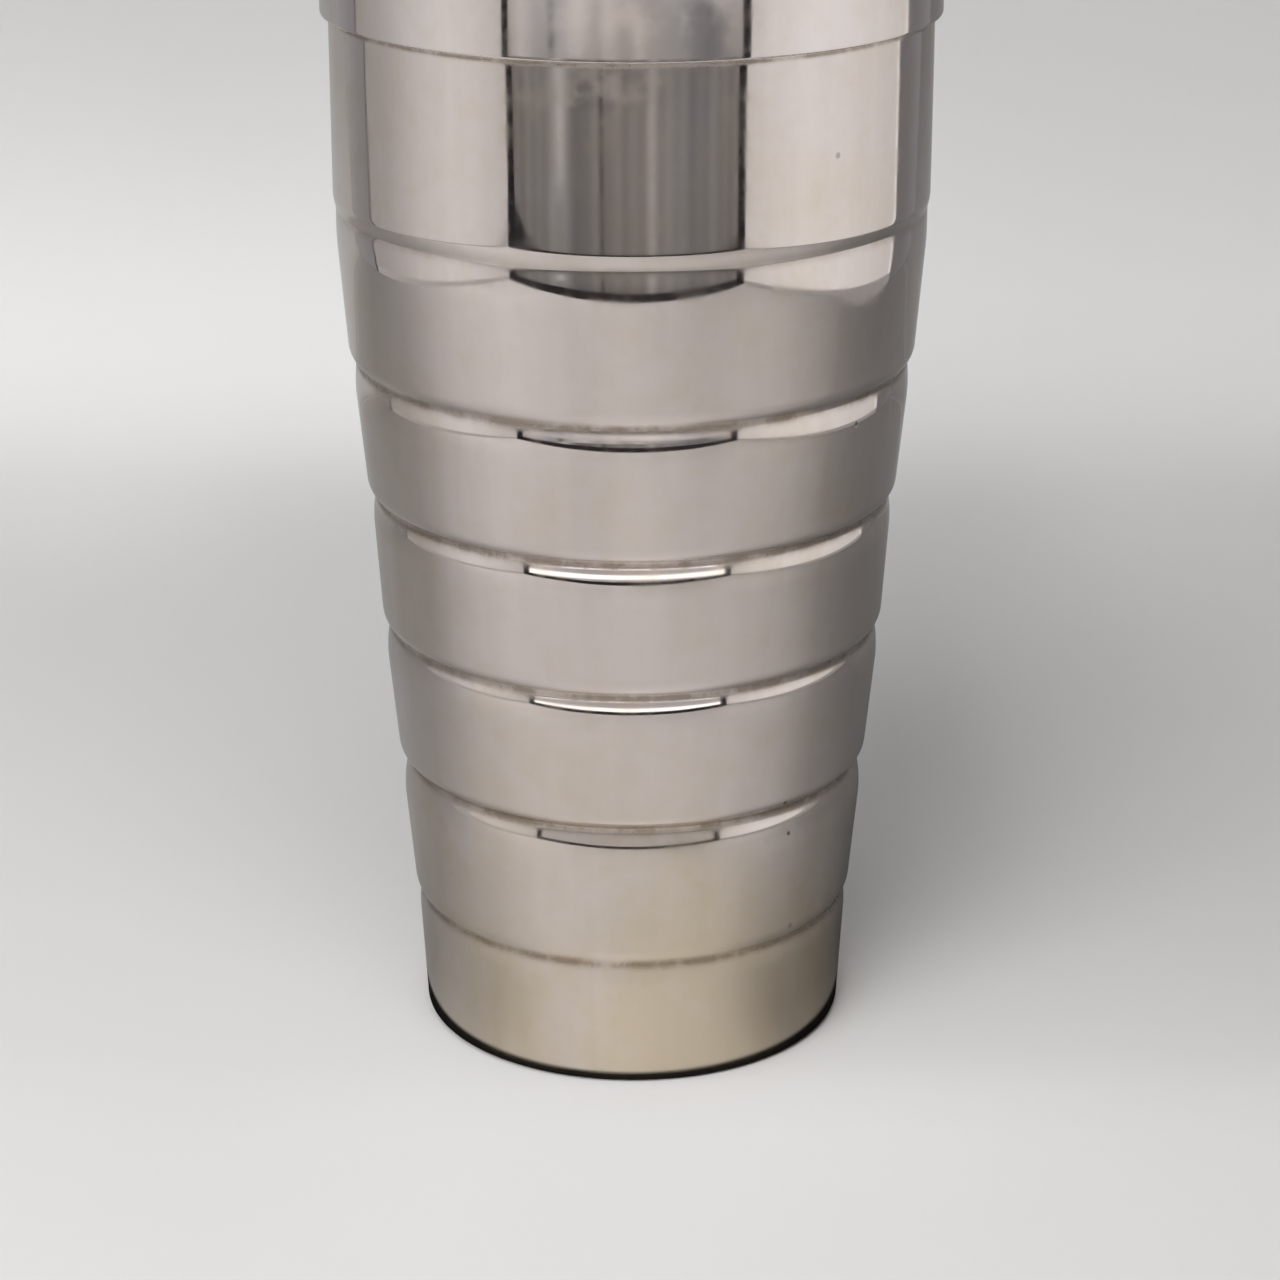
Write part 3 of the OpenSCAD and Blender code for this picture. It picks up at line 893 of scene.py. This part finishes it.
def grid(rows, cols, point, colour):
    verts = [point(r, c) for r in rows for c in cols]
    tint = [colour(r, c) for r in rows for c in cols]
    n = len(cols)
    faces = [(i * n + k, i * n + k + 1, (i + 1) * n + k + 1, (i + 1) * n + k) for i in range(len(rows) - 1) for k in range(n - 1)]
    return verts, faces, tint


glow = emission("painted_reflection_glow", "glow", 1.0)
zs = [0.0005, 0.0105, 0.0115, 0.0125, 0.02, 0.04, 0.06, 0.08, 0.10, 0.12, 0.15, 0.18, 0.22, 0.3, 0.4, 0.5]
ys = [float(y) for y in np.linspace(Y_F, Y_B, 170)]
for side, x_wall in (("left", X_L), ("right", X_R)):
    glowing("panel_" + side, *grid(zs, ys, lambda z, y: (x_wall, y, z), lambda z, y: side_panel(y, z, side == "left")), glow)
    inner = x_wall + (0.036 if side == "left" else -0.036)
    glowing("post_" + side, *grid(zs, [x_wall, inner], lambda z, x: (x, Y_F, z), lambda z, x: (0.022, 0.02, 0.022)), glow)
glowing("sill", *grid([-0.468, -0.401], [-0.43, 0.38], lambda y, x: (x, y, 0.0), lambda y, x: (0.03, 0.028, 0.03)), glow)
glowing("lip", *grid([0.0, 0.022], [-0.43, 0.38], lambda z, x: (x, Y_F - 0.001, z), lambda z, x: (0.035, 0.033, 0.035)), glow)
glowing("ceiling", *grid([float(y) for y in np.linspace(Y_F, Y_B, 9)], [float(x) for x in np.linspace(X_L, X_R, 9)], lambda y, x: (x, y, 0.5),
                         lambda y, x: (0.72 - 0.25 * abs(x) / 0.4,) * 3), glow)
els = [-40, -30, -22, -19, -17, -15, -13, -12, -11.5, -11.0, -10.85, -10.75, -10.68, -10.6, -10.5, -10.4, -10.32, -10.27, -10.22, -10.17, -10.12, -10.06, -10.0, -9.9, -9.8, -9.7, -9.6, -9.45, -9.3, -9.2, -9.0, -8.75, -8.6, -8.45, -8.3, -7.9, -7.6, -7.3, -7.0,
       -6, -5, -4.2, -3.9, -3.6, -3.3, -3.0, -2.0, -1, 0, 4, 8, 12, 20, 30, 40, 55]
azs = [math.radians(a) for a in np.linspace(-62, 62, 420)]
glowing("far_room", *grid([float(e) for e in els], azs, lambda e, a: (8 * math.sin(a), -8 * math.cos(a), 0.15 + 8 * math.tan(math.radians(e))), lambda e, a: room(a, e)), glow)


def area(name, loc, target, size, power, colour=(1, 1, 1), glossy=False, spread=180):
    d = bpy.data.lights.new(name, "AREA")
    d.shape = "DISK"
    d.size = size
    d.energy = power
    d.color = colour
    d.spread = math.radians(spread)
    o = bpy.data.objects.new(name, d)
    scene.collection.objects.link(o)
    o.location = loc
    o.rotation_euler = (Vector(target) - Vector(loc)).to_track_quat("-Z", "Y").to_euler()
    o.visible_glossy = glossy
    return o


area("key_left", (-0.452, -0.645, 0.616), (0, 0.05, 0.02), 0.40, 2.2)
area("key_front", (-0.204, -0.761, 0.616), (0, 0.05, 0.02), 0.40, 2.9)
area("tall_left", (-0.709, -0.410, 0.574), (0, 0.05, 0.02), 0.80, 1.7)
area("top_front", (0.0, -0.5, 0.95), (0, 0.05, 0.0), 0.70, 3.9)
area("panel_left", (-0.411, -0.087, 0.16), (0, 0.0, 0.1), 0.45, 0.37)

world = bpy.data.worlds.new("world")
world.use_nodes = True
world.node_tree.nodes["Background"].inputs[0].default_value = (0.55, 0.55, 0.56, 1)
world.node_tree.nodes["Background"].inputs[1].default_value = 0.02
scene.world = world
